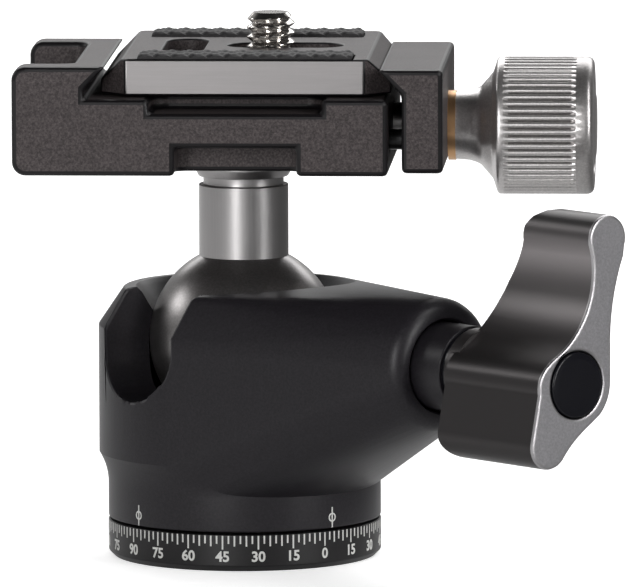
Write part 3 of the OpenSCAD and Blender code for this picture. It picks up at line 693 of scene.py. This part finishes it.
def makeLever():
    part = lever
    place = axisFrame("lock_lever")
    bm = extruded(leverOutline(), part["hubBack"] - 1, part["front"])
    profile = leverBackProfile()
    clear = part["hubBack"] - 5
    behind = [*profile, (profile[-1][0], 30), (clear, 30), (clear, -20), (profile[0][0], -20)]
    scoop = extruded(behind, -20, 20)
    # the profile's first number runs outwards and its second one upwards
    bmesh.ops.transform(scoop, matrix=Matrix(((0, 0, 1, 0), (0, 1, 0, 0), (1, 0, 0, 0), (0, 0, 0, 1))),
                        verts=scoop.verts)
    bmesh.ops.recalc_face_normals(scoop, faces=scoop.faces)
    hole = rod(part["capRadius"] + part["capGap"], part["front"] - part["capDepth"], part["front"] + 1, 72)
    neck = rod(part["neckRadius"], part["neckFrom"], part["hubBack"] + 1)
    shaft = rod(part["shaft"], part["neckFrom"] - 2, part["front"] - part["shaftCover"], 48)
    bm = combined(bm, [(scoop, "DIFFERENCE"), (neck, "UNION"), (hole, "DIFFERENCE"), (shaft, "DIFFERENCE")])
    bmesh.ops.dissolve_limit(bm, angle_limit=math.radians(0.3), verts=bm.verts, edges=bm.edges)

    def sharpAt(test, least=35):
        return [e for e in bm.edges if len(e.link_faces) == 2 and e.calc_face_angle(0) > math.radians(least)
                and test(e)]

    frontZ = part["front"] - 0.01
    front = sharpAt(lambda e: all(v.co.z > frontZ for v in e.verts))
    result = bmesh.ops.bevel(bm, geom=front, offset=part["chamfer"], offset_type="OFFSET", segments=2,
                             profile=0.5, affect="EDGES", clamp_overlap=True, material=-1)
    for face in result["faces"]:
        face.material_index = 2
    for face in bm.faces:
        if face.normal.z > 0.99 and face.calc_center_median().z > frontZ:
            face.material_index = 1
    back = sharpAt(lambda e: all(v.co.z < part["front"] - 3 for v in e.verts)
                   and not all(v.co.xy.length < part["neckRadius"] + 0.2 for v in e.verts), 28)
    bmesh.ops.bevel(bm, geom=back, offset=part["edge"], offset_type="OFFSET", segments=3, profile=0.5,
                    affect="EDGES", clamp_overlap=True, material=-1)
    piece(bm, "leverHandle", "lever", "lever_grey", ["lever_handle"], place,
          [finishes["lever_grey"], leverFace, leverBright], smooth=24)

    capTop = part["front"] + part["capRise"]
    radius, capLow = part["capRadius"], part["front"] - part["capDepth"]
    cap = spun([(0, capLow), (radius, capLow), (radius, part["front"] + 0.1, 0.3),
                (radius - 0.9, capTop - 0.12, 0.8), (0, capTop)], segments=96)
    piece(cap, "leverCap", "lever", "black_plastic", ["lever_cap"], place)
    collarTo = part["neckFrom"] - part["washer"]
    collar = spun([
        (part["shaft"], part["collarFrom"]), (part["collar"], part["collarFrom"], 0.2),
        (part["collar"], collarTo, 0.2), (part["shaft"], collarTo),
    ], closed=True, segments=96)
    piece(collar, "leverCollar", "lever", "housing_black", ["lever_collar"], place)


# clamp, moving jaw and plate

clamp = {
    "flatFrom": 1.5,         # faces above this many square millimetres are shaded flat
    # node: name, body, width of the rounded edges, outer edges only
    "pieces": {
        "clamp_body": ("clampBody", "clamp", 0.65, False),
        "moving_jaw": ("movingJaw", "jaw", 0.65, False),
        "plate_body": ("plateBody", "plate", 0.25, True),
    },
}
# near-black for the clamp's rounded edges: painted shade standing in for their dark reflections
clampEdge = anodised("clampEdge", (0.006, 0.005, 0.006), 0.4, 0.1, gloss=0.3)
plateEnd = brushed("plateEnd", (0.25, 0.24, 0.24), (0.04, 1, 1), 0.4, 0.3, 3600)   # the plate's milled end


def makeClamp():
    for node, (name, body, edge, outerOnly) in clamp["pieces"].items():
        bm = softenEdges(fromCad(node), edge, outerOnly)
        # the rounded edges get the near-black painted shade
        materials = [finishes["clamp_grey"], clampEdge]
        if node == "plate_body":
            materials.append(plateEnd)
            front = boxOf(node)[0].y
            for face in bm.faces:
                if face.normal.y < -0.99 and face.calc_center_median().y < front + 0.05:
                    face.material_index = 2
        piece(bm, name, body, "clamp_grey", [node], materials=materials, even=False, flat=clamp["flatFrom"])


# clamp knob

knob = {
    "neck": 4.45, "grip": 9.05, "length": 18.2, "neckLength": 5.2, "capRadius": 6.2, "capDepth": 1.2,
    "edge": 1.9, "boreRadius": 3.0, "flutes": 58, "sidesPerFlute": 6, "fluteDepth": 0.46, "fluteWidth": 0.48,
    "flutedFrom": 6.4, "flutedTo": 16.0, "runOut": 0.7,
    "darkFrom": 0.58,        # the share of a flute's depth below which it gets painted shade
}
# darker copies of the knob's metal: painted shade in the flutes and on the rim and cap
knobGroove = anodised("knobGroove", (0.38, 0.365, 0.36), 0.36, 0.9)
knobRim = anodised("knobRim", (0.48, 0.463, 0.458), 0.34, 0.92)


def makeKnob():
    part = knob
    start = boxOf("thrust_washer")[1].x
    place = axisFrame("knob_turn")
    place.translation.x = start
    neck, grip, length, seat = part["neck"], part["grip"], part["length"], part["capRadius"] + 0.05
    low, high, runOut = part["flutedFrom"], part["flutedTo"], part["runOut"]
    capLow = length - part["capDepth"]
    outline = roundedPath([
        (neck, 0), (neck + 0.15, 1.8), (neck + 0.6, 3.2, 2.0), (neck + 2.6, part["neckLength"] - 0.3, 1.2),
        (grip, part["neckLength"] + 0.35, 1.4), (grip, low), (grip, low + 0.05), (grip, low + runOut),
        (grip, high - runOut), (grip, high - 0.05), (grip, high), (grip, length, part["edge"]),
        (seat + 0.2, length), (seat, length - 0.25), (seat, capLow), (0, capLow),
    ], False, 6)
    bm = bmesh.new()
    bmesh.ops.create_circle(bm, cap_ends=False, segments=part["flutes"] * part["sidesPerFlute"],
                            radius=part["boreRadius"])
    edges = bm.edges[:]
    for point in outline:
        ring, edges = nextRing(bm, edges)
        inside = min(point.y - low, high - point.y)
        depth = part["fluteDepth"] * max(0, min(1, inside / runOut)) if point.x > grip - 0.01 else 0
        for vert in ring:
            angle = math.atan2(vert.co.y, vert.co.x)
            phase = (angle / math.tau * part["flutes"]) % 1
            cut = depth * max(0, 1 - 2 * abs(phase - 0.5) / part["fluteWidth"])
            reach = max(point.x - cut, 0.001)
            vert.co = Vector((reach * math.cos(angle), reach * math.sin(angle), point.y))
    bmesh.ops.remove_doubles(bm, verts=bm.verts, dist=0.0015)
    bmesh.ops.holes_fill(bm, edges=[edge for edge in bm.edges if edge.is_boundary], sides=0)
    bmesh.ops.recalc_face_normals(bm, faces=bm.faces)
    for face in bm.faces:            # painted shade: the bottoms of the flutes and the knob's rim are coloured darker
        middle = face.calc_center_median()
        deep = middle.xy.length < grip - part["fluteDepth"] * part["darkFrom"]
        if deep and low < middle.z < high:
            face.material_index = 1
        elif middle.z > high - 0.04:
            face.material_index = 2
    piece(bm, "clampKnob", "knob", "knob_silver", ["clamp_knob"], place,
          [finishes["knob_silver"], knobGroove, knobRim], smooth=28)
    radius = part["capRadius"]
    cap = spun([(0, capLow), (radius, capLow), (radius, length - 0.2, 0.25),
                (radius * 0.6, length + 0.28, 2.0), (0, length + 0.35)], segments=96)
    # the cap has the rim's painted shade
    piece(cap, "knobCap", "knob", "knob_silver", ["knob_cap"], place, [knobRim])


# rubber strips and camera screw

strip = {
    "pitch": 2.3, "wave": 0.24, "snake": 0.28, "snakePitch": 3.1, "twist": 0.12, "twistPitch": 1.9,
    "cell": 0.24, "corner": 0.5,
}


def makeStrip(node, name):
    low, high = boxOf(node)
    bm = bmesh.new()
    size = high - low
    across, along = (int(length / strip["cell"]) for length in size.xy)
    bmesh.ops.create_grid(bm, x_segments=across, y_segments=along, size=0.5)
    bmesh.ops.scale(bm, vec=(size.x, size.y, 1), verts=bm.verts)
    top = high.z - low.z
    for vert in bm.verts:
        x, y = vert.co.x, vert.co.y
        side = min(size.x / 2 - abs(x), size.y / 2 - abs(y))
        snake = strip["snake"] * math.sin(math.tau * y / strip["snakePitch"])
        ridge = abs(math.sin(math.pi * (x / strip["pitch"] + snake)))
        twist = 0.5 + 0.5 * math.sin(math.tau * (2 * x / strip["pitch"] + y / strip["twistPitch"]))
        vert.co.z = (top - strip["wave"] * (1 - ridge) - strip["twist"] * twist
                     - max(0, strip["corner"] - side) * 0.5)
    skirt, rim = nextRing(bm, [edge for edge in bm.edges if edge.is_boundary])
    for vert in skirt:
        vert.co.z = 0
    bmesh.ops.holes_fill(bm, edges=rim, sides=0)
    bmesh.ops.recalc_face_normals(bm, faces=bm.faces)
    bmesh.ops.translate(bm, verts=bm.verts, vec=((low.x + high.x) / 2, (low.y + high.y) / 2, low.z))
    piece(bm, name, "plate", "rubber_black", [node], smooth=50)


cameraScrew = {
    "pitch": 1.27, "outer": 3.175, "depth": 0.66, "root": 0.06, "flank": 0.38, "tipSlope": 0.9,
    "headRadius": 5.1, "headHeight": 2.3, "steps": 12, "around": 72,
}


def makeCameraScrew():
    part = cameraScrew
    low, high = boxOf("camera_screw")
    centre = (low + high) / 2
    shaftLow = part["headHeight"]
    height = high.z - low.z
    bm = bmesh.new()
    bmesh.ops.create_circle(bm, cap_ends=True, segments=part["around"], radius=part["headRadius"] - 0.3)
    edges = bm.edges[:]
    levels = [(part["headRadius"], 0.3), (part["headRadius"], part["headHeight"] - 0.2),
              (part["headRadius"] - 0.2, part["headHeight"]), (part["outer"], shaftLow)]
    rise = part["pitch"] / part["steps"]
    count = int((height - shaftLow) / rise)
    levels += [(None, shaftLow + (height - shaftLow) * k / count) for k in range(1, count + 1)]
    levels += [(part["outer"] - part["depth"] - 0.55, height), (0.001, height)]
    for reach, z in levels:
        ring, edges = nextRing(bm, edges)
        for vert in ring:
            angle = math.atan2(vert.co.y, vert.co.x)
            radius = reach
            if reach is None:
                phase = (z / part["pitch"] - angle / math.tau) % 1
                flank = max(0, abs(phase - 0.5) - part["root"]) / part["flank"]
                tip = part["outer"] - part["depth"] - 0.2 + (height - z) * part["tipSlope"]
                radius = min(part["outer"] - part["depth"] * max(0, 1 - flank), tip)
            vert.co = Vector((radius * math.cos(angle), radius * math.sin(angle), z))
    bmesh.ops.remove_doubles(bm, verts=bm.verts, dist=0.002)
    bmesh.ops.recalc_face_normals(bm, faces=bm.faces)
    bmesh.ops.translate(bm, verts=bm.verts, vec=(centre.x, centre.y, low.z))
    piece(bm, "cameraScrew", "screw", "chrome_screw", ["camera_screw"], smooth=30)


baseRadius, baseTop = makeBase()
makeScale(baseRadius, baseTop)
makeIndexMarks(housing["neckRadius"], boxOf("housing")[0].z)
print("base and scale made")
makeHousing()
print("housing made")
makeBall()
makeLever()
print("ball and lever made")
makeClamp()
makeKnob()
makeStrip("rubber_front", "stripFront")
makeStrip("rubber_rear", "stripRear")
makeCameraScrew()
print("clamp, knob and plate made")

# CAD nodes that keep their own mesh get the finish of their slot
slotOf = {part["node"]: part["material_slot"] for part in frame["record"]["subparts"]}
for node, shown in frame["nodes"].items():
    for number in range(len(shown.material_slots)):
        shown.material_slots[number].material = finishes[slotOf[node]]


# floor, lights and camera

studio = {
    "floor": 3.0, "floorLift": 0.6, "ambient": 0.3,
    # how bright the background is in reflections: in all of them, overhead and on the right
    "mirrored": 0.35, "zenith": 0.05, "zenithFrom": (0.45, 0.75), "right": 0.15, "rightFrom": (0.35, 0.8),
    "floorRightFrom": (0.0, 0.1),
    # the camera's distance in metres, its direction and roll in degrees, and where it aims in millimetres
    "camera": 1.5914, "azimuth": 3.343, "elevation": 8.173, "roll": 0.194, "across": 10.06, "up": 34.27,
    "focalPixels": 12020.6, "sensor": 36.0, "frameWidth": 640, "lampsAim": 0.035,
    # name: direction and height in degrees, distance, width, height, watts
    "lamps": {
        "frontLeftLamp": (-107, 11, 1.0, 0.2, 0.5, 4.2),
        "rightLamp": (-36, 15, 1.0, 0.18, 0.6, 5.0),
        "highLamp": (-23, 48, 1.0, 0.24, 0.2, 1.6),
        "leftLamp": (165, 26, 1.0, 0.36, 0.22, 1.3),
        "backLamp": (88, 37, 1.1, 1.3, 0.7, 8.4),
    },
}


def showsBackground(tree):
    # 1 for the rays that see the pale background: from the camera or through glass, and less in a reflection
    camera, glossy, through = (tree.node("ShaderNodeLightPath", output=name)
                               for name in ("Is Camera Ray", "Is Glossy Ray", "Is Transmission Ray"))
    return camera + through + glossy * studio["mirrored"], glossy


def fading(tree, where, axis, span, least):
    # 1 up to the span's start along an axis, and least beyond its end
    along = tree.node("ShaderNodeSeparateXYZ", None, {0: where}, output=axis)
    return tree.node("ShaderNodeMapRange", {"interpolation_type": "SMOOTHSTEP"},
                     {"Value": along, "From Min": span[0], "From Max": span[1], "To Min": 1, "To Max": least})


def makeStudio():
    bm = bmesh.new()
    bmesh.ops.create_grid(bm, x_segments=1, y_segments=1, size=studio["floor"])
    floor = objectFrom(bm, "studioFloor")
    floorLook = Finish("paleFloor", Roughness=0.9, Emission_Strength=studio["floorLift"])
    seen, glossy = showsBackground(floorLook)
    right = glossy * (1 - fading(floorLook, floorLook.place(), 0, studio["floorRightFrom"], studio["right"]))
    floorLook.put("Base Color", floorLook.blend(right, (0.8, 0.8, 0.8), (0, 0, 0)))
    floorLook.put("Emission Color", floorLook.blend(seen * (1 - right), (0, 0, 0), (1, 1, 1)))
    floor.data.materials.append(floorLook.material)

    world = bpy.data.worlds.new("studioWorld")
    bpy.context.scene.world = world
    world.use_nodes = True
    sky = Nodes(world.node_tree)
    seen, glossy = showsBackground(sky)
    where = sky.node("ShaderNodeTexCoord", output="Generated")
    wall = (fading(sky, where, 2, studio["zenithFrom"], studio["zenith"])
            * fading(sky, where, 0, studio["rightFrom"], studio["right"]))
    strength = seen * (1 - glossy * (1 - wall))
    strength = strength.maths("MAXIMUM", strength, studio["ambient"] * wall)
    background = world.node_tree.nodes["Background"]
    sky.feed(background.inputs["Color"], (1, 1, 1))
    sky.feed(background.inputs["Strength"], strength)

    for name, (around, up, far, wide, high, watts) in studio["lamps"].items():
        light = bpy.data.lights.new(name, "AREA")
        light.shape, light.size, light.size_y, light.energy = "RECTANGLE", wide, high, watts
        lamp = bpy.data.objects.new(name, light)
        around, up = math.radians(around), math.radians(up)
        away = Vector((math.cos(around) * math.cos(up), math.sin(around) * math.cos(up), math.sin(up)))
        lamp.matrix_world = (Matrix.Translation(Vector((0, 0, studio["lampsAim"])) + away * far)
                             @ away.to_track_quat("Z", "Y").to_matrix().to_4x4())
        bpy.context.scene.collection.objects.link(lamp)


def makeCamera():
    azimuth, elevation = (math.radians(studio[key]) for key in ("azimuth", "elevation"))
    away = Vector((math.sin(azimuth) * math.cos(elevation), -math.cos(azimuth) * math.cos(elevation),
                   math.sin(elevation)))
    right = Vector((math.cos(azimuth), math.sin(azimuth), 0))
    up = away.cross(right)
    aim = (right * studio["across"] + up * studio["up"]) / metre
    data = bpy.data.cameras.new("camera")
    data.sensor_width = studio["sensor"]
    data.lens = studio["focalPixels"] * studio["sensor"] / studio["frameWidth"]
    data.clip_end = 20
    camera = bpy.data.objects.new("camera", data)
    look = (aim - away * studio["camera"]).to_track_quat("-Z", "Y").to_matrix().to_4x4()
    camera.matrix_world = (Matrix.Translation(away * studio["camera"]) @ look
                           @ Matrix.Rotation(math.radians(-studio["roll"]), 4, "Z"))
    bpy.context.scene.collection.objects.link(camera)
    bpy.context.scene.camera = camera


makeStudio()
makeCamera()
bpy.context.scene.view_settings.view_transform = "Standard"
print("studio made")
